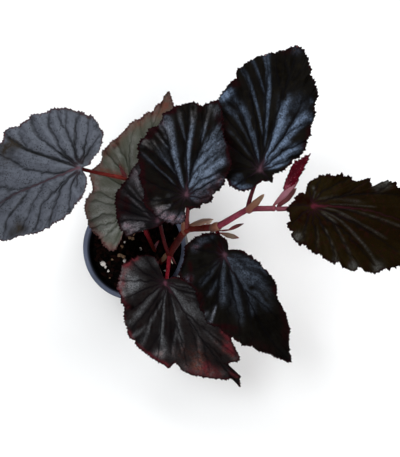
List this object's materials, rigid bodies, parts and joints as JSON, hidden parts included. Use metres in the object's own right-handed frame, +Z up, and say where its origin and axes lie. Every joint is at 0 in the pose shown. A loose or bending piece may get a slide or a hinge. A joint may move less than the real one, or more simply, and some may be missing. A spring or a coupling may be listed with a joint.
{
  "type": "potted begonia",
  "caption": "Leaning begonia with dark pleated leaves, red stems and tan stipules, growing in soil in a small round nursery pot with a flared collar.",
  "frame": {"origin": "middle of the underside of the pot, on the surface that it stands on", "axes": "+Z up; +X the way the main stem leans, +Y towards the back as seen by a viewer who has the lean to the right"},
  "size_m": [0.4065, 0.2993, 0.237],
  "materials": {
    "pot": "slate blue moulded plastic, softly satin",
    "soil": "dark damp potting soil with white and tan grains",
    "stem": "crimson to brown skin, satin, with tan papery stipules",
    "grey_leaf": "dark leaf with a blue-grey sheen and red edge",
    "green_leaf": "grey-green young leaf with a pink to brown edge",
    "dark_leaf": "near-black leaf with a blue-grey sheen and crimson edge",
    "brown_leaf": "brown-black leaf with a red-brown edge"
  },
  "bodies": {
    "root": {"pot": "pot", "soil": "soil", "main_stem": "stem", "side_stem": "stem", "leaf_1": "grey_leaf", "leaf_2": "green_leaf", "leaf_3": "dark_leaf", "leaf_4": "dark_leaf", "leaf_5": "dark_leaf", "leaf_6": "brown_leaf", "leaf_7": "dark_leaf", "leaf_8": "dark_leaf"}
  },
  "joints": []
}
